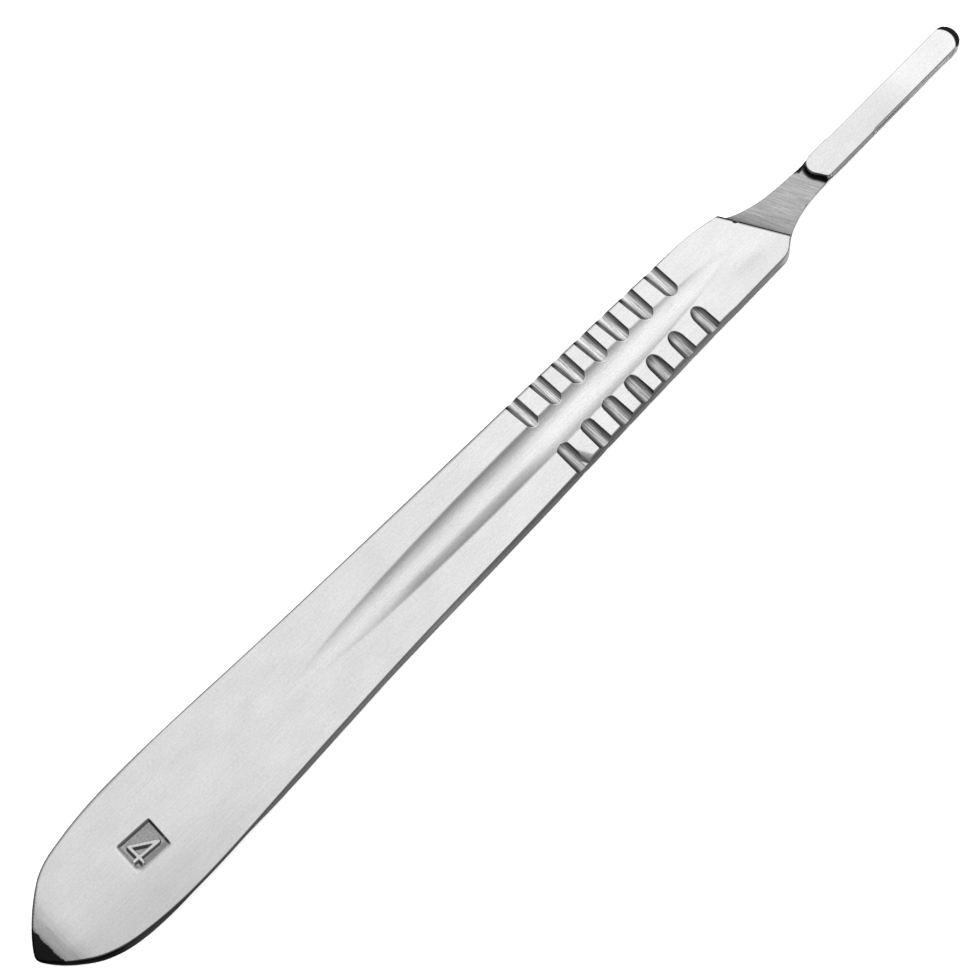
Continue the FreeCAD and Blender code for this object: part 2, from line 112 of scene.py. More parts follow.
# how far the -Y flank leans in under the body, by x
TUCK = [(-61.0, 0.0), (-57.5, 0.05), (-54.2, 0.22), (-51.5, 0.37), (-47.3, 0.44), (-43.3, 0.35), (-39.3, 0.17),
        (-35.0, 0.09), (-27.0, 0.09), (-23.0, 0.12), (-19.0, 0.08), (-14.0, 0.03), (-9.0, 0.0)]


# ------------------------------------------------------------------ curve tools
def periodic_spline(points):
    """Closed C2 cubic through the points, by chord length; returns f(t) and its period."""
    p = np.array(points, float)
    n = len(p)
    h = np.hypot(*(np.roll(p, -1, 0) - p).T)
    m = np.zeros((n, n))
    rhs = np.zeros((n, 2))
    for i in range(n):
        a, b = h[i - 1], h[i]
        m[i, (i - 1) % n] += a
        m[i, i] += 2 * (a + b)
        m[i, (i + 1) % n] += b
        rhs[i] = 6 * ((p[(i + 1) % n] - p[i]) / b - (p[i] - p[i - 1]) / a)
    k = np.linalg.solve(m, rhs)
    start = np.concatenate([[0], np.cumsum(h)])

    def f(t):
        t = np.mod(np.asarray(t, float), start[-1])
        i = np.clip(np.searchsorted(start, t, "right") - 1, 0, n - 1)
        j = (i + 1) % n
        hh = h[i][:, None]
        u, w = (start[i + 1] - t)[:, None], (t - start[i])[:, None]
        return (k[i] * u ** 3 / (6 * hh) + k[j] * w ** 3 / (6 * hh)
                + (p[i] / hh - k[i] * hh / 6) * u + (p[j] / hh - k[j] * hh / 6) * w)
    return f, start[-1]


def inside(pts, poly):
    """Which of the points lie in the polygon."""
    out = np.zeros(len(pts), bool)
    a, b = poly, np.roll(poly, -1, 0)
    for s in range(0, len(pts), 4000):
        x, y = pts[s:s + 4000, 0][:, None], pts[s:s + 4000, 1][:, None]
        cross = (a[:, 1] > y) != (b[:, 1] > y)
        with np.errstate(divide="ignore", invalid="ignore"):
            xi = a[:, 0] + (y - a[:, 1]) * (b[:, 0] - a[:, 0]) / (b[:, 1] - a[:, 1])
        out[s:s + 4000] = (np.sum(cross & (x < xi), 1) % 2) == 1
    return out


def distance(pts, line, closed=True):
    """Distance from each point to a polyline."""
    a = line
    b = np.roll(line, -1, 0)
    if not closed:
        a, b = a[:-1], b[:-1]
    d = b - a
    dd = np.maximum((d ** 2).sum(1), 1e-12)
    out = np.empty(len(pts))
    for s in range(0, len(pts), 3000):
        px, py = pts[s:s + 3000, 0][:, None] - a[:, 0], pts[s:s + 3000, 1][:, None] - a[:, 1]
        t = np.clip((px * d[:, 0] + py * d[:, 1]) / dd, 0, 1)
        out[s:s + 3000] = np.sqrt(((px - t * d[:, 0]) ** 2 + (py - t * d[:, 1]) ** 2).min(1))
    return out


def signed(pts, poly):
    """Distance to a polygon's edge, positive inside."""
    return np.where(inside(pts, poly), 1.0, -1.0) * distance(pts, poly)


def smin(a, b, k):
    h = np.clip(0.5 + 0.5 * (b - a) / k, 0, 1)
    return b * (1 - h) + a * h - k * h * (1 - h)


def easy(t):
    t = np.clip(t, 0, 1)
    return t * t * (3 - 2 * t)


def drop(q, r):
    """How far a quarter round of radius r has fallen at distance q inside the edge."""
    q = np.clip(q, 0, r)
    return r - np.sqrt(np.maximum(r * r - (r - q) ** 2, 0))


# ------------------------------------------------------------------ plan curves
outline, period = periodic_spline(RING)
dense_t = np.linspace(0, period, 24001)[:-1]
dense = outline(dense_t)
PANEL_TURN = math.radians(-3.4)


def on_panel(a, b):
    return (-51.90 + a * math.cos(PANEL_TURN) - b * math.sin(PANEL_TURN),
            -0.19 + a * math.sin(PANEL_TURN) + b * math.cos(PANEL_TURN))


PANEL_A, PANEL_HI, PANEL_LO = 2.30, 1.79, 1.89
panel = np.array([on_panel(*q) for q in ((-PANEL_A, -PANEL_LO), (PANEL_A, -PANEL_LO), (PANEL_A, PANEL_HI), (-PANEL_A, PANEL_HI))])
# a plain numeral on the panel, drawn as three strokes
STROKE = 0.19
strokes = [np.array([on_panel(*q) for q in s]) for s in (
    ((-1.66, -0.59), (1.48, -0.70)), ((-1.17, 0.92), (-1.05, -1.22)), ((-1.17, 0.92), (1.48, -0.66)))]

lr, lf = 1.56, 1.44
rear_pts = [(47.15, lr), (46.58, lr - 0.08), (46.16, 1.22), (45.90, 0.80), (45.86, 0.30),
            (45.98, -0.12), (46.27, -0.60), (46.66, -1.27), (46.95, -lr + 0.02)]


def open_curve(points, step):
    """A smooth run through the points (Catmull-Rom)."""
    p = np.array(points, float)
    e = np.vstack([2 * p[0] - p[1], p, 2 * p[-1] - p[-2]])
    out = []
    for i in range(1, len(e) - 2):
        n = max(2, int(np.hypot(*(e[i + 1] - e[i])) / step))
        for t in np.arange(n) / n:
            out.append(0.5 * ((2 * e[i]) + (-e[i - 1] + e[i + 1]) * t
                              + (2 * e[i - 1] - 5 * e[i] + 4 * e[i + 1] - e[i + 2]) * t ** 2
                              + (-e[i - 1] + 3 * e[i] - 3 * e[i + 1] + e[i + 2]) * t ** 3))
    out.append(p[-1])
    return np.array(out)


lug_line = np.vstack([open_curve(rear_pts, 0.05), [(53.45, -lr + 0.02), (53.65, -1.50), (53.9, -lf)],
                      [(70.0, -lf), (70.0, lf)], [(49.9, lf), (49.62, 1.50), (49.40, lr)]])


def resample(line, step, closed=True):
    a = np.vstack([line, line[:1]]) if closed else line
    out = []
    for p, q in zip(a[:-1], a[1:]):
        n = max(1, int(round(np.hypot(*(q - p)) / step)))
        out.append(p + (q - p) * (np.arange(n) / n)[:, None])
    if not closed:
        out.append(a[-1:])
    return np.vstack(out)


def offsets(line, qs, closed=True):
    """Rows of points beside a line, at each distance to its left."""
    nxt, prv = np.roll(line, -1, 0), np.roll(line, 1, 0)
    if not closed:
        nxt[-1], prv[0] = line[-1], line[0]
    d = nxt - prv
    d /= np.maximum(np.hypot(*d.T), 1e-9)[:, None]
    nrm = np.stack([-d[:, 1], d[:, 0]], 1)
    return [line + q * nrm for q in qs]


# ------------------------------------------------------------------ heights
def step_side(p):
    """Distance from the step's line, positive on the body's side."""
    (ax, ay), (bx, by) = STEP_A, STEP_B
    n = np.array([-(by - ay), bx - ax]) / math.hypot(bx - ax, by - ay)
    return -((p[:, 0] - ax) * n[0] + (p[:, 1] - ay) * n[1])


def butt_drop(p):
    """Both faces round down towards the butt, then fall away on a flat facet."""
    facet = BUTT_FACET + 0.02 * (p[:, 1] + 0.43) ** 2
    d = np.maximum(BUTT_X - np.maximum(p[:, 0], facet), 0)
    arc = BUTT_R - np.sqrt(np.maximum(BUTT_R ** 2 - d * d, 0))
    return arc + np.maximum(facet - p[:, 0], 0) * math.tan(math.radians(20))


# rounding of the body's upper edges by x: how far across and how far down, -Y side and +Y side
WIDE_LOW = [(-67.5, 0.25), (-62.0, 0.22), (-58.0, 0.16), (-6.0, 0.16), (2.0, 0.20), (9.0, 0.25), (22.0, 0.25), (27.0, 0.18), (30.0, 0.16)]
WIDE_UP = [(-67.5, 0.25), (-62.0, 0.33), (-58.0, 0.42), (-54.0, 0.48), (-48.0, 0.48), (-44.5, 0.30), (-42.0, 0.25), (-38.0, 0.30),
           (-30.0, 0.29), (-17.0, 0.30), (-9.0, 0.48), (-2.0, 0.50), (4.0, 0.42), (20.0, 0.42), (24.0, 0.30), (29.0, 0.25)]
DEEP_LOW = [(-67.5, 0.30), (-62.5, 0.62), (-58.0, 0.80), (26.0, 0.80), (29.6, 0.07)]
DEEP_UP = [(-67.5, 0.25), (-62.5, 0.30), (-58.0, 0.35), (26.0, 0.35), (29.6, 0.07)]


def rounded_edge(p, edge):
    """How far the edge's rounding has fallen at a distance inside the outline, and where it applies."""
    x, up = p[:, 0], np.clip(p[:, 1] + 0.5, 0, 1)
    low_w, up_w, low_d, up_d = (np.interp(x, *np.array(t).T) for t in (WIDE_LOW, WIDE_UP, DEEP_LOW, DEEP_UP))
    wide, deep = low_w + up * (up_w - low_w), low_d + up * (up_d - low_d)
    return deep * drop(edge / wide, 1.0), edge < wide


def flute_height(p):
    """Height of the flute's surface above the face's level, negative where it cuts."""
    rho = FLUTE_SWEEP - (FLUTE_R - np.sqrt(np.maximum(FLUTE_R ** 2 - (p[:, 1] - FLUTE_Y) ** 2, 0)))
    z = -FLUTE_D + FLUTE_SWEEP - np.sqrt(rho ** 2 - (p[:, 0] - FLUTE_X) ** 2)
    return np.where(np.abs(p[:, 1] - FLUTE_Y) < 4.0, z, 9.0)


def groove_half(r, over):
    """Half width of a groove at the level of the face."""
    h = r - GROOVE_D - FALL * np.maximum(over, 0)
    return np.sqrt(r * r - h * h)


def groove_cut(p, z, r, x0, y0, side):
    """Cuts one groove: a straight run that falls outwards, an end that runs up on an arc."""
    near = (np.abs(p[:, 0] - x0) < 1.5) & ((p[:, 1] - y0) * side > -2.3)
    q, zz = p[near], z[near]
    over = (q[:, 1] - y0) * side
    dx = q[:, 0] - x0 + (SLANT if side > 0 else 0.0) * over
    tube = np.sqrt(np.maximum(r * r - dx * dx, 0))
    zc = r - GROOVE_D - FALL * over
    end = zc + GROOVE_RUN - np.sqrt(np.maximum((GROOVE_RUN + tube) ** 2 - over ** 2, 0))
    wall = np.where(over > 0, zc - tube, end)
    wall = np.where((np.abs(dx) < r) & (over > -2.2), wall, 9.0)
    z[near] = smin(zz, wall, 0.015)
    return z


def top_height(p, edge):
    """Height of the upper surface at the plan points; edge is the distance from the outline."""
    x, y = p[:, 0], p[:, 1]
    z = -butt_drop(p)
    z = smin(z, flute_height(p), 0.035)
    for x0, y0, r, side in GROOVES:
        z = groove_cut(p, z, r, x0, y0, side)
    # sunken panel with its raised numeral
    near = (np.abs(x + 51.9) < 3.2) & (np.abs(y + 0.19) < 2.8)
    q = p[near]
    c, sn = math.cos(PANEL_TURN), math.sin(PANEL_TURN)
    a = (q[:, 0] + 51.90) * c + (q[:, 1] + 0.19) * sn
    b = -(q[:, 0] + 51.90) * sn + (q[:, 1] + 0.19) * c
    s = np.minimum(PANEL_A - np.abs(a), np.where(b > 0, PANEL_HI, PANEL_LO) - np.abs(b))
    # steep walls on the blade's side and the +Y side, slopes on the other two
    floor_z = -0.28 * (easy((PANEL_A + 0.03 - a) / 0.32) * easy((PANEL_HI + 0.03 - b) / 0.38)
                       * easy((a + PANEL_A + 0.08) / 0.85) * np.clip((b + PANEL_LO + 0.05) / 0.85, 0, 1))
    # the strokes stand up steeply on two sides and slope down on the other two
    rise = np.zeros(len(q))
    for k in range(6):
        shifted = q + np.array([0.043, 0.036]) * k
        up = np.full(len(q), -9.0)
        for st in strokes:
            up = np.maximum(up, STROKE - distance(shifted, st, closed=False))
        rise = np.maximum(rise, (1 - k / 6) * easy((up + 0.02) / 0.06))
    z[near] += np.minimum(floor_z + 0.22 * rise * (s > 0), 0.0)
    # nick beside the first groove, chip in the step's edge
    near = (np.abs(x - 8.0) < 1.2) & (y < -2.4)
    q = p[near]
    d = np.array([0.47, -0.883])
    beside = (q - np.array([7.68, -3.12])) @ np.array([d[1], -d[0]])
    hollow = -0.30 * np.clip(beside, -0.2, 1.0) - 0.15 * np.clip(beside, 0, 1.0) ** 2
    z[near] = np.where(q[:, 0] > 6.83, smin(z[near], np.where(beside > -0.1, hollow, 9.0), 0.02), z[near])
    off = np.hypot(x - 36.47, y - 1.98)
    cut = 0.05 - np.sqrt(np.maximum(0.34 ** 2 - off ** 2, 0))
    z = np.where(off < 0.34, smin(z, cut, 0.03), z)
    # rounded long edges
    fallen, at_edge = rounded_edge(p, edge)
    z = T + np.minimum(z, np.where(at_edge, -butt_drop(p) - fallen, 9.0))
    # step down to the seat, rounded at the top and hollow at the foot
    f = step_side(p)
    z = z - np.where(f > 0, drop(f, STEP_TOP), 0.0)
    # neck, seat and lug
    front = f <= 0
    q, e = p[front], edge[front]
    low = SEAT + np.where(f[front] > -STEP_FOOT, drop(STEP_FOOT + f[front], STEP_FOOT) * 1.0, 0.0)
    g = signed(q, lug_line)
    wide = np.interp(q[:, 1], [-1.6, -0.85, -0.3, 0.3, 0.85, 1.4], [0.84, 0.72, 0.56, 0.42, 0.34, 0.34])
    foot = 0.05 + (wide - 0.05) * np.clip((47.0 - q[:, 0]) / 0.25, 0, 1)
    low = np.where((g < 0) & (g > -foot), np.maximum(low, SEAT + foot - np.sqrt(
        np.maximum(foot ** 2 - (foot + g) ** 2, 0))), low)
    rho = np.hypot(q[:, 0] - NOSE_X, q[:, 1])
    cone = LUG - (rho - NOSE_TOP) * NOSE_DROP / (NOSE_LOW - NOSE_TOP)
    cone = np.where(q[:, 0] > NOSE_X, cone, 9.0)
    top = LUG - drop(g, 0.11)
    top = smin(top, cone, 0.05)
    low = np.where(g >= 0, top, low)
    low = np.minimum(low, cone)
    low = low - drop(e, 0.05)
    # the neck's +Y edge is worn down just behind the lug
    worn = np.clip((q[:, 1] - 1.36) / 0.22, 0, 1.2) * easy((q[:, 0] - 44.75) / 0.25) * easy((46.45 - q[:, 0]) / 0.25)
    low = low - 0.20 * worn
    z[front] = low
    return z


def back_height(p, edge):
    """Height of the hidden face: the same flute and grooves, no panel."""
    z = -butt_drop(p)
    z = smin(z, flute_height(p), 0.035)
    for x0, y0, r, side in GROOVES:
        z = groove_cut(p, z, r, x0, y0, side)
    return -np.minimum(z, np.where(edge < EDGE, -butt_drop(p) - drop(edge / EDGE, 1.0) * np.interp(p[:, 0], [3, 6, 28, 30], [0.25, 0.5, 0.5, 0.25]), 9.0))


# ------------------------------------------------------------------ plan points
def edge_crossings(f):
    """Parameters where f of the outline changes sign."""
    v = f(dense)
    i = np.nonzero(np.sign(v) != np.sign(np.roll(v, -1)))[0]
    w = v[i] / (v[i] - np.roll(v, -1)[i])
    return dense_t[i] + w * (period / len(dense_t))


def ring_parameters(profile):
    """Parameters of the outline's points: even, closer where it turns, and on each groove's rows."""
    tangent = np.roll(dense, -1, 0) - np.roll(dense, 1, 0)
    head = np.unwrap(np.arctan2(tangent[:, 1], tangent[:, 0]))
    bend = np.abs(np.gradient(head)) / (period / len(dense_t))
    bend = np.convolve(np.concatenate([bend[-100:], bend, bend[:100]]), np.ones(201) / 201, "valid")
    weight = 1.0 / np.clip(0.42 / (1 + 2.2 * bend), 0.10, 0.42)
    cum = np.concatenate([[0], np.cumsum(weight)]) * (period / len(dense_t))
    n = int(cum[-1])
    base = np.interp(np.linspace(0, cum[-1], n + 1)[:-1], cum, np.linspace(0, period, len(dense_t) + 1))
    extra = []
    for x0, y0, r, side in GROOVES:
        for o in profile:
            def row(p):
                over = (p[:, 1] - y0) * side
                return p[:, 0] - x0 + (SLANT if side > 0 else 0.0) * over - o * groove_half(r, np.clip(over, 0, 4))
            extra += [v for v in edge_crossings(row) if outline([v])[0, 1] * side > 2]
    for s in (-0.25, -0.12, -0.05, -0.004, 0.004, 0.03, 0.07, 0.14, 0.24, 0.35, 0.46):
        extra += list(edge_crossings(lambda p: step_side(p) - s))
    extra = np.array(sorted(extra))
    keep = [e for i, e in enumerate(extra) if i == 0 or e - extra[i - 1] > 0.004]
    gap = np.abs(base[:, None] - np.array(keep)[None, :]).min(1)
    return np.array(sorted(list(base[gap > 0.06]) + keep))


def grid(x0, x1, y0, y1, dx, dy):
    xs = np.arange(x0, x1 + dx / 2, dx)
    ys = np.arange(y0, y1 + dy / 2, dy)
    g = np.stack(np.meshgrid(xs, ys, indexing="ij"), -1)
    g[::2, :, 1] += dy / 2
    return g.reshape(-1, 2)


FINE = np.array([0, .18, .36, .52, .66, .77, .85, .91, .95, .975, .99, 1.0, 1.01, 1.025, 1.05, 1.10])
COARSE = np.array([0, .30, .58, .80, .92, .98, 1.02, 1.08])


def groove_points(profile, dy, span, fine_end):
    out = []
    rows = np.concatenate([-profile[:0:-1], profile])
    for x0, y0, r, side in GROOVES:
        over = np.arange(0.0, span, dy)
        half = groove_half(r, over)
        for o in rows:
            x = x0 - (SLANT if side > 0 else 0.0) * over + o * half
            out.append(np.stack([x, y0 + side * over], 1))
        g = grid(-1.05, 1.05, 0.03, 1.65, fine_end, fine_end)
        out.append(np.stack([x0 + g[:, 0], y0 - side * g[:, 1]], 1))
    return np.vstack(out)


def thin(groups, gap):
    """Joins groups of points, leaving out a point closer than gap to one before it."""
    cells, kept = {}, []
    for pts, own in groups:
        for p in pts:
            g = own if own is not None else gap
            cx, cy = int(p[0] // 0.25), int(p[1] // 0.25)
            ok = True
            for i in (-1, 0, 1):
                for j in (-1, 0, 1):
                    for q in cells.get((cx + i, cy + j), ()):
                        if (q[0] - p[0]) ** 2 + (q[1] - p[1]) ** 2 < g * g:
                            ok = False
                            break
                    if not ok:
                        break
                if not ok:
                    break
            if ok:
                cells.setdefault((cx, cy), []).append(p)
                kept.append(p)
    return np.array(kept)


def triangulate(ring, lines, groups, min_gap):
    """Triangles over the plan, with the ring as its edge and the lines kept as edges."""
    fixed = [ring] + lines
    pts = thin([(r, 0.0) for r in fixed] + groups, min_gap)
    edges, base = [], 0
    n = len(ring)
    edges += [(i, (i + 1) % n) for i in range(n)]
    base = n
    for l in lines:
        edges += [(base + i, base + i + 1) for i in range(len(l) - 1)]
        base += len(l)
    free = pts[base:]
    free = free[inside(free, ring)]
    free = free[distance(free, ring) > 0.006]
    pts = np.vstack([pts[:base], free])
    v, e, f, vo, eo, fo = delaunay_2d_cdt([Vector(p) for p in pts], edges, [], 0, 1e-7, True)
    out = np.array([(p.x, p.y) for p in v])
    tri = np.array([t for t in f if len(t) == 3])
    where = {}
    for i, src in enumerate(vo):
        for s in src:
            where[s] = i
    on_ring = np.array([where[i] for i in range(n)])
    order = np.full(len(out), -1)
    order[on_ring] = np.arange(n)
    o = order[tri]
    doubt = (o >= 0).all(1)
    turn_of = np.take_along_axis(tri, np.argsort(o, 1), 1)     # in the ring's own order
    p0, p1, p2 = out[turn_of[:, 0]], out[turn_of[:, 1]], out[turn_of[:, 2]]
    left = (p1[:, 0] - p0[:, 0]) * (p2[:, 1] - p0[:, 1]) - (p1[:, 1] - p0[:, 1]) * (p2[:, 0] - p0[:, 0]) > 0
    tri = tri[~doubt | left]                                   # triangles outside turn the other way
    a, b, c = out[tri[:, 0]], out[tri[:, 1]], out[tri[:, 2]]
    area = (b[:, 0] - a[:, 0]) * (c[:, 1] - a[:, 1]) - (b[:, 1] - a[:, 1]) * (c[:, 0] - a[:, 0])
    tri[area < 0] = tri[area < 0][:, ::-1]
    return out, tri, on_ring


rows_for_ring = np.concatenate([-FINE[:0:-1], FINE])
ring_t = ring_parameters(rows_for_ring)
ring = outline(ring_t)
area2 = np.sum(ring[:, 0] * np.roll(ring[:, 1], -1) - np.roll(ring[:, 0], -1) * ring[:, 1])
if area2 < 0:
    ring = ring[::-1].copy()

# top: rows beside the outline, the step and the lug, then flute, grooves, panel and a plain field
(ax, ay), (bx, by) = STEP_A, STEP_B
along = np.array([bx - ax, by - ay]) / math.hypot(bx - ax, by - ay)
across = np.array([-along[1], along[0]])              # towards the blade end


def step_row(f, step=0.12):
    """Points of one row beside the step, inside the outline."""
    s = np.arange(-4.0, 12.0, step)
    p = np.array(STEP_A) + s[:, None] * along - f * -across
    return p[inside(p, ring)]


def step_line(f):
    p = step_row(f)
    p = p[distance(p, ring) > 0.03]
    ends = []
    for t in edge_crossings(lambda q: step_side(q) - f):
        ends.append(outline([t])[0])
    ends = sorted(ends, key=lambda q: (q - np.array(STEP_A)) @ along)
    return p, ends


lug_run = resample(lug_line, 0.14)
lug_run = lug_run[lug_run[:, 0] < 67.6]
lug_ccw = np.sum(lug_line[:, 0] * np.roll(lug_line[:, 1], -1) - np.roll(lug_line[:, 0], -1) * lug_line[:, 1]) > 0
sgn = 1.0 if lug_ccw else -1.0
lug_rows = []
full = resample(lug_line, 0.14)
for q in (-0.46, -0.38, -0.30, -0.22, -0.15, -0.09, -0.045, -0.015, -0.004, 0.004, 0.015, 0.035, 0.06, 0.09, 0.12, 0.2):
    r = offsets(full, [sgn * q])[0]
    lug_rows.append((r[r[:, 0] < 67.6], 0.008))
edge_rows = [(r, 0.006) for r in offsets(ring, [0.008, 0.018, 0.032, 0.05, 0.075, 0.105, 0.14, 0.17, 0.21, 0.25, 0.30, 0.37, 0.44, 0.52])]
panel_rows = [(r, 0.02) for r in offsets(resample(panel, 0.07), [-0.06, -0.02, 0.02, 0.06])]
nose_rows = []
for r in (1.52, 1.60, 1.66, 1.70, 1.74, 1.80, 1.88, 2.0, 2.12, 2.24, 2.34, 2.44, 2.5):
    a = np.arange(-80, 81, 4.0) * math.pi / 180
    nose_rows.append((np.stack([NOSE_X + r * np.cos(a), r * np.sin(a)], 1), 0.02))
step_rows = [(step_row(f), 0.008) for f in (-0.9, -0.6, -0.4, -0.25, -0.19, -0.13, -0.08, -0.04, -0.015, -0.004,
                                            0.004, 0.014, 0.03, 0.055, 0.09, 0.13, 0.18, 0.23, 0.29, 0.35, 0.41, 0.46, 0.54)]
top_groups = (edge_rows + step_rows + lug_rows + nose_rows + panel_rows
              + [(groove_points(FINE, 0.14, 3.4, 0.062), 0.012),
                 (grid(7.0, 9.0, -5.2, -2.4, 0.06, 0.06), 0.04),
                 (grid(35.9, 37.0, 1.4, 2.5, 0.05, 0.05), 0.03),
                 (grid(-54.4, -49.4, -2.25, 1.75, 0.055, 0.055), 0.035),
                 (grid(44.6, 47.2, -1.6, 1.6, 0.09, 0.09), 0.05),
                 (grid(-36.0, 37.0, -2.5, 2.9, 0.50, 0.125), 0.07),
                 (grid(-67.4, -61.0, -6.8, 6.8, 0.30, 0.45), 0.15),
                 (grid(38.0, 67.3, -3.6, 3.6, 0.30, 0.30), 0.14),
                 (grid(-67.0, 40.0, -7.0, 7.0, 0.62, 0.55), 0.25)])
top_p, top_t, top_ring = triangulate(ring, [], top_groups, 0.02)
back_groups = ([(r, 0.02) for r in offsets(ring, [0.03, 0.08, 0.15, 0.25, 0.36])]
               + [(groove_points(COARSE, 0.28, 3.4, 0.17), 0.02),
                  (grid(-36.0, 37.0, -2.5, 2.9, 0.70, 0.18), 0.10),
                  (grid(-67.4, -61.0, -6.8, 6.8, 0.40, 0.6), 0.2),
                  (grid(-67.0, 67.2, -7.0, 7.0, 0.9, 0.8), 0.35)])
back_p, back_t, back_ring = triangulate(ring, [], back_groups, 0.02)
top_z = top_height(top_p, distance(top_p, ring))
back_z = back_height(back_p, distance(back_p, ring))
print("plan", len(ring), len(top_p), len(top_t), len(back_p), len(back_t))

# ------------------------------------------------------------------ one closed mesh
def lean(q, share):
    """Points moved in under the body on the -Y side, by a share of the flank's whole lean."""
    near_edge = np.clip((-q[:, 1] - 2.5) / 2.5, 0, 1)
    return np.column_stack([q[:, 0], q[:, 1] + share * near_edge * np.interp(q[:, 0], *np.array(TUCK).T)])


verts = [np.column_stack([top_p, top_z]), np.column_stack([lean(back_p, 1.0), back_z])]
n_top, n_back = len(top_p), len(back_p)
faces = [top_t, back_t[:, ::-1] + n_top]
n = len(ring)
hi, lo = top_z[top_ring], back_z[back_ring]
levels = (0.2, 0.5, 0.8)
prev = top_ring
quads = []
count = n_top + n_back
for w in levels:
    verts.append(np.column_stack([lean(ring, w), hi + (lo - hi) * w]))
    cur = np.arange(count, count + n)
    count += n
    quads.append(np.column_stack([prev, cur, np.roll(cur, -1), np.roll(prev, -1)]))
    prev = cur
cur = back_ring + n_top
quads.append(np.column_stack([prev, cur, np.roll(cur, -1), np.roll(prev, -1)]))
verts = np.vstack(verts)
quads = np.vstack(quads)
me = bpy.data.meshes.new("handle_skin")
me.from_pydata((verts * MM).tolist(), [], [list(map(int, f)) for f in np.vstack(faces)] + [list(map(int, q)) for q in quads])
me.validate()
handle = bpy.data.objects.new("handle_skin", me)
bpy.context.scene.collection.objects.link(handle)
print("mesh", len(me.vertices), len(me.polygons))

# the blade slots under both sides of the lug, open at the sides and at the nose
for name, start, side in (("slot_a", 49.90, 1), ("slot_b", 53.75, -1)):
    bm = bmesh.new()
    y0, y1 = sorted((side * 1.05, side * 2.6))
    c = [bm.verts.new((x * MM, y * MM, z * MM)) for z in (0.7449, 1.17) for y in (y0, y1) for x in (start, 69.5)]
    for q in ((0, 2, 3, 1), (4, 5, 7, 6), (0, 1, 5, 4), (2, 6, 7, 3), (0, 4, 6, 2), (1, 3, 7, 5)):
        bm.faces.new([c[i] for i in q])
    bmesh.ops.recalc_face_normals(bm, faces=bm.faces[:])
    cm = bpy.data.meshes.new(name)
    bm.to_mesh(cm)
    bm.free()
    cutter = bpy.data.objects.new(name, cm)
    bpy.context.scene.collection.objects.link(cutter)
    mod = handle.modifiers.new(name, "BOOLEAN")
    mod.operation, mod.solver, mod.object = "DIFFERENCE", "EXACT", cutter
    bpy.context.view_layer.update()
    dg = bpy.context.evaluated_depsgraph_get()
    cut = bpy.data.meshes.new_from_object(handle.evaluated_get(dg))
    handle.modifiers.clear()
    handle.data = cut
    bpy.data.objects.remove(cutter)
me = handle.data
bm = bmesh.new()
bm.from_mesh(me)
bmesh.ops.triangulate(bm, faces=[f for f in bm.faces if len(f.verts) > 4])
loose = [v for v in bm.verts if not v.link_faces]
bmesh.ops.delete(bm, geom=loose, context="VERTS")
bad = [e for e in bm.edges if len(e.link_faces) != 2]
print("open edges", len(bad), "faces", len(bm.faces), "volume mm3", bm.calc_volume() * 1e9)
lo_c, hi_c = np.array(box_lo), np.array(box_hi)
for v in bm.verts:
    v.co = Vector(np.minimum(np.maximum(np.array(v.co), lo_c), hi_c))
bm.to_mesh(me)
bm.free()
me.shade_smooth()
me.set_sharp_from_angle(angle=math.radians(42))
handle.name = "handle_skin"
me.name = "handle_skin"
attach(handle, "root")
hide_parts("scalpel_handle")

# ------------------------------------------------------------------ what the surface knows
# Plain numbers per point, worked out from where it is: which way it was ground, how dark it is coloured, much of that
# painted shade, how far along a groove it lies.
n = len(me.vertices)
co = np.empty(n * 3)
me.vertices.foreach_get("co", co)
co = co.reshape(-1, 3) / MM
nor = np.empty(n * 3)
me.vertices.foreach_get("normal", nor)
nor = nor.reshape(-1, 3)
X, Y, Z = co.T


def ramp(v, a, b):
    t = np.clip((v - a) / (b - a), 0, 1)
    return t * t * (3 - 2 * t)


upside = ramp(np.abs(nor[:, 2]), 0.25, 0.75)
side_face = 1 - upside
xy = co[:, :2]
rim_d = distance(xy, ring)
in_groove = np.zeros(n)
# painted shade in the grooves: darker in the lower row, darkest along each groove's rims
groove_shade = np.ones(n)
ROW_GROOVE_SHADE = (0.85,) * 7 + (0.60,) * 7
for (x0, y0, r, sd), left in zip(GROOVES, ROW_GROOVE_SHADE):
    over = (Y - y0) * sd
    dx = X - x0 + (SLANT if sd > 0 else 0.0) * over
    tube = np.sqrt(np.maximum(r * r - dx * dx, 0))
    zc = r - GROOVE_D - FALL * over
    bed = np.where(over > 0, zc - tube, zc + GROOVE_RUN - np.sqrt(np.maximum((GROOVE_RUN + tube) ** 2 - over ** 2, 0)))
    m = (np.abs(dx) < r) & (over > -2.2)
    below = np.minimum(0.0, flute_height(xy)) - bed      # how far the groove lies under the face or the flute
    in_groove = np.maximum(in_groove, np.where(m, ramp(below, 0.004, 0.03), 0))
    sh = dx / groove_half(r, over)
    rim = (1 - 0.72 * ramp(-sh, 0.30, 0.95)) * (1 - 0.30 * ramp(sh, 0.72, 0.97))
    groove_shade = np.where(m & (below > 0.006), left * rim, groove_shade)
wall = ramp(-np.abs(nor[:, 2]), -0.60, -0.35) * (rim_d < 0.26)
in_groove = in_groove * (1 - wall)
groove_shade = groove_shade + (1 - groove_shade) * wall
fl = ramp(-flute_height(xy), 0.0, 0.12) * (1 - in_groove)
ahead_of_step = ramp(-step_side(xy), -0.02, 0.05)
lug_mask = ramp(signed(xy, lug_line), -0.02, 0.05) * (X > 40)
neck = ahead_of_step * (1 - lug_mask) * (X < 47.3)
butt = ramp(-X, 62.0, 65.6)
# how far beyond the butt's facet line, in millimetres
facet = np.clip(BUTT_FACET + 0.02 * (Y + 0.43) ** 2 - X, -1.0, 1.0)
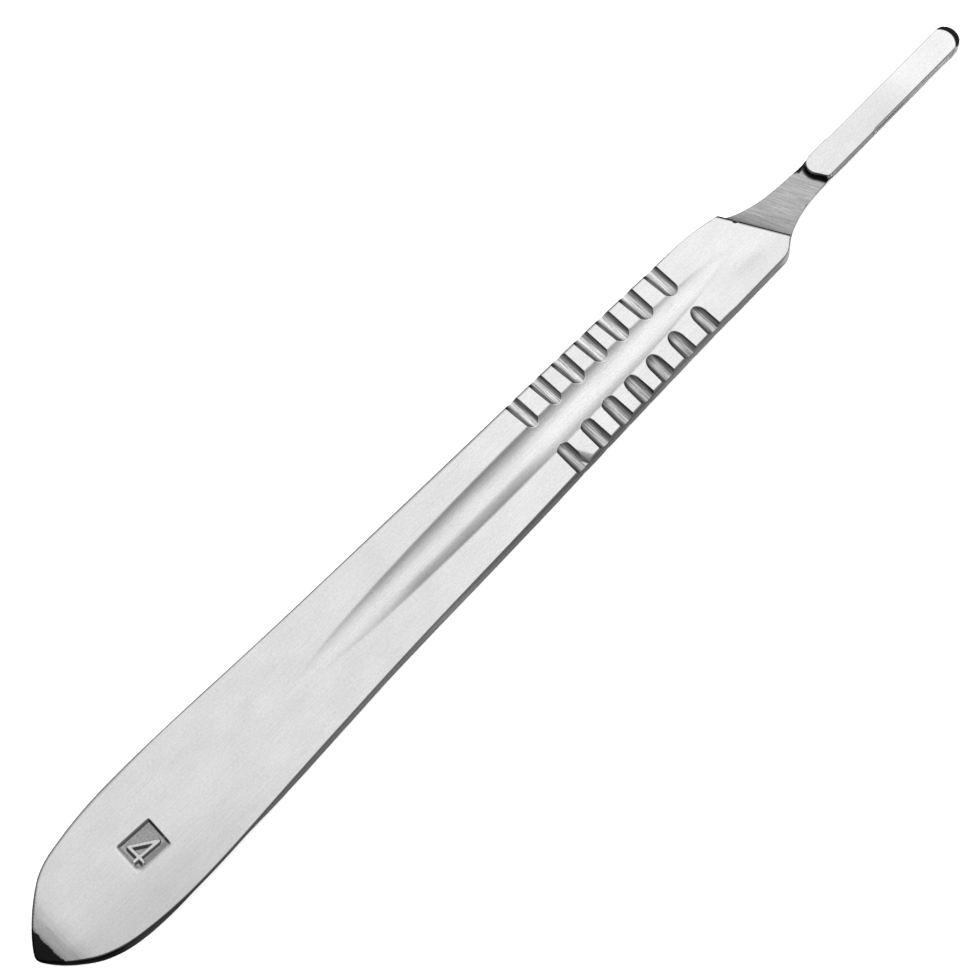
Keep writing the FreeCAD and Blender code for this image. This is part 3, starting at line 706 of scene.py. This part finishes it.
# painted shade on the flanks: nearly black at the butt, lighter towards the blade end
tone = np.interp(X, [-67.5, -62, -60, -56, -52, -48, -44, -40, -32, -26, -20, -14, -8, -3, 2, 8, 17, 22, 30, 34, 41, 46, 67.5],
                 [0.08, 0.10, 0.19, 0.24, 0.24, 0.31, 0.41, 0.46, 0.51, 0.56, 0.58, 0.64, 0.52, 0.46, 0.46, 0.42, 0.47, 0.60, 0.58, 0.64, 0.90, 1.10, 1.10])
tone = 1 - wall * (1 - tone)
# shade of the neck beside the foot of the step, deepest at its +Y end
foot_d = -step_side(xy)
shade = (X < 47.3) * ahead_of_step * np.exp(-np.maximum(foot_d - 0.45, 0) / 0.85) * np.interp(Y, [-3.4, -0.5, 2.5], [0.45, 0.9, 1.0])
# painted shade in the corner behind the lug; the worn edge there is painted darker too
lug_gap = -signed(xy, lug_line)
behind_lug_shade = (lug_gap > 0.01) * (1 - ramp(lug_gap, 0.34, 0.54))
behind_lug_shade = np.maximum(behind_lug_shade, ramp(Y, 1.12, 1.22) * ramp(X, 44.95, 45.15) * (1 - ramp(X, 46.3, 46.5)))
behind_lug_shade = behind_lug_shade * (X > 40) * (X < 47.25) * (Z < 1.6) * (Z > 0.3)
# broad darkening and lightening, much of it painted light: darker towards the butt, painted shade on the -Y side and
# along the flute's -Y wall, a little darker on the -Y side before the step, painted shade on the lug's rear and a
# painted highlight towards its nose, a painted highlight down the flute's middle, a soft darker patch near the step,
# painted shade over the step's rounded edge
painted_light_and_tone = np.interp(X, [-66, -57, -40, -14, 5], [0.83, 0.875, 0.91, 0.92, 0.99])
# painted shade on the -Y side towards the butt
painted_light_and_tone = painted_light_and_tone * (1 - 0.145 * ramp(-Y, 0.3, 4.5) * ramp(-X, 34, 56))
painted_light_and_tone = painted_light_and_tone * (1 - 0.06 * ramp(-Y, 0.8, 3.0) * ramp(X, 29, 33) * (X < 40))
# painted shade on the lug's rear, a painted highlight towards its nose
painted_light_and_tone = painted_light_and_tone * (1 - lug_mask * (0.08 - 0.13 * ramp(X, 55, 61)))
# painted shade on the flute's -Y wall
painted_light_and_tone = painted_light_and_tone * (1 - 0.32 * ramp(X, -20, -12) * (1 - ramp(X, 0, 7)) * ramp(-Y, 0.3, 0.9) * fl)
# painted highlight down the middle of the flute towards the blade end
painted_light_and_tone = painted_light_and_tone * (1 + 0.09 * ramp(X, 1, 9) * fl * (1 - ramp(np.abs(Y - 0.16), 0.8, 1.4)))
painted_light_and_tone = painted_light_and_tone * (1 - 0.11 * np.exp(-((X - 34.6) / 1.7) ** 2 - ((Y + 2.3) / 0.6) ** 2))
step_f = step_side(xy)
# painted shade over the step's rounded top edge
painted_light_and_tone = painted_light_and_tone * (1 - 0.62 * (step_f > 0) * (Z < T - 0.004) * (Z > SEAT + 0.3) * ramp(0.36 - step_f, 0.0, 0.14))
painted_light_and_tone = painted_light_and_tone * groove_shade * (1 - 0.92 * behind_lug_shade)
painted_light_and_tone = np.where(wall > 0.5, 1.0, painted_light_and_tone)
# painted shade where the butt rounds over, streaked across in the material
butt_end_shade = ramp(-X, 62.8, 64.9) * (1 - wall)

grain = np.zeros((n, 3))
grain[:] = (0.0, 1.0, 0.0)                         # across the lengthwise brushing
diag = np.array([across[0], across[1], 0.0])
grain = grain * (1 - neck)[:, None] + diag * neck[:, None]
pa = (X + 51.90) * math.cos(PANEL_TURN) + (Y + 0.19) * math.sin(PANEL_TURN)
pb = -(X + 51.90) * math.sin(PANEL_TURN) + (Y + 0.19) * math.cos(PANEL_TURN)
# the sunken panel's floor is coloured darker and gritty: partly its own stamped finish, partly painted shade in the
# recess, stronger towards one corner
in_panel = ramp(np.minimum(2.42 - np.abs(pa), 2.0 - np.abs(pb)), -0.05, 0.05) * ramp(T - Z, 0.03, 0.13) * (Z > 1.5)
in_panel = in_panel * (0.90 + 0.05 * np.clip((pa + pb) / 2, -1.5, 1.5))


def store(name, values, kind="FLOAT"):
    a = me.attributes.new(name, kind, "POINT")
    a.data.foreach_set("vector" if kind == "FLOAT_VECTOR" else "value", np.ascontiguousarray(values, np.float32).ravel())


store("grain", grain, "FLOAT_VECTOR")
store("groove", in_groove)
store("flute", fl)
store("neck", neck)
store("butt", butt)
store("wall", wall)
store("tone", tone)
store("shade", shade)
store("lug", lug_mask)
store("panel", in_panel)
store("facet", facet)
store("painted_light_and_tone", painted_light_and_tone)
store("butt_end_shade", butt_end_shade)

# ------------------------------------------------------------------ steel
mat = bpy.data.materials.new("handle_steel")
mat.use_nodes = True
nt = mat.node_tree
bsdf = nt.nodes["Principled BSDF"]


def node(kind, **settings):
    nd = nt.nodes.new(kind)
    for k, v in settings.items():
        setattr(nd, k, v)
    return nd


def attr(name):
    return node("ShaderNodeAttribute", attribute_name=name)


def math_node(op, a, b=None, clamp=False):
    nd = node("ShaderNodeMath", operation=op, use_clamp=clamp)
    for i, v in enumerate((a, b)):
        if v is None:
            continue
        if isinstance(v, (int, float)):
            nd.inputs[i].default_value = v
        else:
            nt.links.new(v, nd.inputs[i])
    return nd.outputs[0]


def mix(fac, a, b):
    """a + fac * (b - a)"""
    nd = node("ShaderNodeMix", data_type="FLOAT")
    for s, v in ((0, fac), (2, a), (3, b)):
        if isinstance(v, (int, float)):
            nd.inputs[s].default_value = v
        else:
            nt.links.new(v, nd.inputs[s])
    return nd.outputs[0]


def streaks(scale, detail, rough, turned=0.0, seed=(0, 0, 0)):
    """Noise drawn out by the mapping's scale, per millimetre."""
    m = node("ShaderNodeMapping")
    m.inputs["Scale"].default_value = [s * 1000 for s in scale]
    m.inputs["Location"].default_value = seed
    if turned:
        r = node("ShaderNodeMapping")
        r.inputs["Rotation"].default_value = (0, 0, turned)
        nt.links.new(coords, r.inputs["Vector"])
        nt.links.new(r.outputs[0], m.inputs["Vector"])
    else:
        nt.links.new(coords, m.inputs["Vector"])
    t = node("ShaderNodeTexNoise")
    t.inputs["Scale"].default_value = 1.0
    t.inputs["Detail"].default_value = detail
    t.inputs["Roughness"].default_value = rough
    nt.links.new(m.outputs[0], t.inputs["Vector"])
    return t.outputs["Fac"]


coords = node("ShaderNodeTexCoord").outputs["Object"]
sep = node("ShaderNodeSeparateXYZ")
nt.links.new(coords, sep.inputs[0])
px = sep.outputs[0]
a_groove, a_flute, a_neck = attr("groove").outputs["Fac"], attr("flute").outputs["Fac"], attr("neck").outputs["Fac"]
a_butt, a_wall, a_panel = attr("butt").outputs["Fac"], attr("wall").outputs["Fac"], attr("panel").outputs["Fac"]
a_flank_shade = attr("tone").outputs["Fac"]

diag_turn = math.atan2(along[1], along[0])
n_long = streaks((0.22, 7.0, 7.0), 4.0, 0.6)
n_long_fine = streaks((0.35, 22.0, 22.0), 2.0, 0.5, seed=(3, 1, 2))
n_cross = streaks((7.0, 0.22, 3.0), 3.0, 0.6, seed=(5, 0, 0))
n_diag = mix(0.5, streaks((0.30, 10.0, 3.0), 3.0, 0.6, turned=-diag_turn + math.radians(2)),
             streaks((0.45, 5.0, 3.0), 4.0, 0.65, turned=-diag_turn + math.radians(7), seed=(2, 8, 0)))
n_groove = streaks((5.5, 0.30, 0.8), 4.0, 0.65, seed=(1, 4, 0))
n_cloud = streaks((0.22, 0.40, 0.40), 4.0, 0.6, seed=(7, 7, 1))
n_grit = streaks((3.0, 6.0, 6.0), 3.0, 0.6, seed=(9, 2, 1))

n_ragged = streaks((1.0, 2.6, 1.0), 3.0, 0.6, seed=(4, 6, 3))
brush = mix(a_neck, n_long, n_diag)
brush = mix(a_butt, brush, n_cross)
brush = mix(a_groove, brush, n_groove)
fine = mix(a_groove, n_long_fine, n_groove)

# colour: bright satin on top, darker on the neck, with painted shade on the flanks, in the grooves, over the step's
# edge, at the butt and behind the lug
contrast = mix(a_flute, 0.19, 0.25)
contrast = mix(attr("lug").outputs["Fac"], contrast, 0.12)
contrast = mix(a_groove, contrast, 2.30)
contrast = mix(a_neck, contrast, 1.40)
tone = math_node("MULTIPLY_ADD", math_node("SUBTRACT", brush, 0.5), contrast)
nt.nodes[-1].inputs[2].default_value = 0.0
lift = math_node("ADD", tone, math_node("MULTIPLY", math_node("SUBTRACT", n_cloud, 0.5), 0.15))
lift = math_node("ADD", lift, math_node("MULTIPLY", math_node("SUBTRACT", n_grit, 0.5), 0.24))
base = math_node("ADD", lift, 0.68)
neck_c = math_node("MULTIPLY", base, mix(a_neck, 1.0, 0.55))
neck_c = math_node("MULTIPLY", neck_c, mix(attr("shade").outputs["Fac"], 1.0, 0.36))
neck_c = math_node("MULTIPLY", neck_c, attr("painted_light_and_tone").outputs["Fac"])
neck_c = math_node("MULTIPLY", neck_c, mix(attr("butt_end_shade").outputs["Fac"], 1.0, mix(n_cross, 0.60, 1.04)))
neck_c = math_node("MULTIPLY", neck_c, mix(a_panel, 1.0, mix(n_grit, 0.25, 0.60)))
# painted shade: the butt's facet is painted nearly black, with a ragged edge
facet_shade = math_node("ADD", attr("facet").outputs["Fac"], math_node("MULTIPLY", math_node("SUBTRACT", n_ragged, 0.5), 0.55))
facet_shade = math_node("MULTIPLY", facet_shade, 14.0, clamp=True)
neck_c = math_node("MULTIPLY", neck_c, mix(facet_shade, 1.0, 0.06))
# the flanks' colour takes the painted flank shade
wall_c = math_node("MULTIPLY", mix(a_wall, neck_c, 0.85), a_flank_shade)
colour = node("ShaderNodeCombineColor")
for i in range(3):
    nt.links.new(wall_c, colour.inputs[i])
nt.links.new(colour.outputs[0], bsdf.inputs["Base Color"])
# the painted flank shade also darkens the flanks' reflections through the specular tint
flank_shade_tint = node("ShaderNodeCombineColor")
for i in range(3):
    nt.links.new(a_flank_shade, flank_shade_tint.inputs[i])
nt.links.new(flank_shade_tint.outputs[0], bsdf.inputs["Specular Tint"])
bsdf.inputs["Metallic"].default_value = 1.0
bsdf.inputs["Anisotropic"].default_value = 0.75
nt.links.new(attr("grain").outputs["Vector"], bsdf.inputs["Tangent"])
rough = math_node("MULTIPLY_ADD", brush, 0.10)
nt.nodes[-1].inputs[2].default_value = 0.20
rough = mix(a_wall, rough, 0.55)
nt.links.new(rough, bsdf.inputs["Roughness"])
bump = node("ShaderNodeBump")
bump.inputs["Strength"].default_value = 0.5
bump.inputs["Distance"].default_value = 0.000005
height = math_node("ADD", brush, math_node("MULTIPLY", fine, 0.5))
nt.links.new(height, bump.inputs["Height"])
nt.links.new(bump.outputs[0], bsdf.inputs["Normal"])
me.materials.clear()
me.materials.append(mat)

# ------------------------------------------------------------------ floor and light
fm = bpy.data.meshes.new("floor")
fm.from_pydata([(-6, -6, -0.00001), (6, -6, -0.00001), (6, 6, -0.00001), (-6, 6, -0.00001)], [], [(0, 1, 2, 3)])
floor = bpy.data.objects.new("floor", fm)
bpy.context.scene.collection.objects.link(floor)
floor.visible_glossy = False
pale = bpy.data.materials.new("pale_floor")
pale.use_nodes = True
pale.node_tree.nodes["Principled BSDF"].inputs["Base Color"].default_value = (0.92, 0.92, 0.92, 1)
pale.node_tree.nodes["Principled BSDF"].inputs["Roughness"].default_value = 0.9
pale.node_tree.nodes["Principled BSDF"].inputs["Specular IOR Level"].default_value = 0.0
fm.materials.append(pale)

# One large soft box overhead, long across the handle, dark beyond its ends.
world = bpy.data.worlds.new("studio")
bpy.context.scene.world = world
world.use_nodes = True
wt = world.node_tree
for nd in list(wt.nodes):
    wt.nodes.remove(nd)


def wnode(kind, **settings):
    nd = wt.nodes.new(kind)
    for k, v in settings.items():
        setattr(nd, k, v)
    return nd


def wmath(op, a, b=None):
    nd = wnode("ShaderNodeMath", operation=op)
    for i, v in enumerate((a, b)):
        if v is None:
            continue
        if isinstance(v, (int, float)):
            nd.inputs[i].default_value = v
        else:
            wt.links.new(v, nd.inputs[i])
    return nd.outputs[0]


def profile_of(angle, stops, peak):
    """Brightness as a smooth function of an angle in degrees."""
    frac = wmath("MULTIPLY_ADD", angle, 1 / math.pi)
    wt.nodes[-1].inputs[2].default_value = 0.5
    r = wnode("ShaderNodeValToRGB")
    wt.links.new(frac, r.inputs[0])
    r.color_ramp.interpolation = "EASE"
    while len(r.color_ramp.elements) > 1:
        r.color_ramp.elements.remove(r.color_ramp.elements[0])
    for i, (deg, v) in enumerate(stops):
        pos = deg / 180 + 0.5
        el = r.color_ramp.elements[0] if i == 0 else r.color_ramp.elements.new(pos)
        el.position = pos
        el.color = (v / peak, v / peak, v / peak, 1)
    return wmath("MULTIPLY", r.outputs[0], peak)


wc = wnode("ShaderNodeTexCoord")
ws = wnode("ShaderNodeSeparateXYZ")
wt.links.new(wc.outputs["Generated"], ws.inputs[0])
dx, dy, dz = ws.outputs
ang_x = wmath("ARCTAN2", dx, dz)
ang_y = wmath("ARCTAN2", dy, dz)
A = profile_of(ang_x, [(-80, 0.10), (-65, 0.20), (-53, 0.30), (-42, 0.42), (-31, 0.66), (-21, 1.05), (-11, 1.36), (-2, 1.45), (15, 1.72),
                        (29, 1.62), (39, 1.45), (49, 1.15), (60, 0.82), (71, 0.52), (83, 0.30)], 1.75)
B = profile_of(ang_y, [(-75, 0.03), (-52, 0.10), (-34, 0.26), (-18, 0.62), (-4, 0.97), (4, 1.0), (24, 1.0), (38, 0.86), (52, 0.58), (66, 0.30), (82, 0.05)], 1.0)
up_half = wmath("GREATER_THAN", dz, 0.0)
soft = wmath("MULTIPLY", wmath("MULTIPLY", A, B), up_half)
under = wnode("ShaderNodeMapRange", interpolation_type="SMOOTHSTEP")
wt.links.new(dz, under.inputs["Value"])
for key, v in (("From Min", -0.70), ("From Max", -0.95), ("To Min", 0.0), ("To Max", 1.5)):
    under.inputs[key].default_value = v


def smooth_range(value, a, b, out_a, out_b):
    r = wnode("ShaderNodeMapRange", interpolation_type="SMOOTHSTEP")
    wt.links.new(value, r.inputs["Value"])
    for key, v in (("From Min", a), ("From Max", b), ("To Min", out_a), ("To Max", out_b)):
        r.inputs[key].default_value = v
    return r.outputs[0]


# weak fill from both sides, low down, so the flanks do not go black when seen from the side
fill = wmath("MULTIPLY", smooth_range(wmath("ABSOLUTE", dy), 0.60, 0.90, 0.0, 0.34), smooth_range(dz, -0.65, -0.35, 0.0, 1.0))
fill = wmath("MULTIPLY", fill, smooth_range(dz, 0.35, 0.55, 1.0, 0.0))
gain = wmath("ADD", wmath("ADD", soft, 0.025), wmath("ADD", under.outputs[0], fill))
bg = wnode("ShaderNodeBackground")
wt.links.new(gain, bg.inputs["Strength"])
plain = wnode("ShaderNodeBackground")
plain.inputs["Color"].default_value = (0.98, 0.98, 0.98, 1)
lp = wnode("ShaderNodeLightPath")
sw = wnode("ShaderNodeMixShader")
wt.links.new(lp.outputs["Is Camera Ray"], sw.inputs[0])
wt.links.new(bg.outputs[0], sw.inputs[1])
wt.links.new(plain.outputs[0], sw.inputs[2])
wo = wnode("ShaderNodeOutputWorld")
wt.links.new(sw.outputs[0], wo.inputs[0])

# A soft light for the floor alone: it keeps the ground pale without showing in the steel.
sun = bpy.data.lights.new("floor_wash", "SUN")
sun.energy = 3.4
sun.angle = math.radians(120)
sun.use_shadow = False
wash = bpy.data.objects.new("floor_wash", sun)
bpy.context.scene.collection.objects.link(wash)
wash.visible_glossy = False

bpy.context.scene.view_settings.view_transform = "Standard"
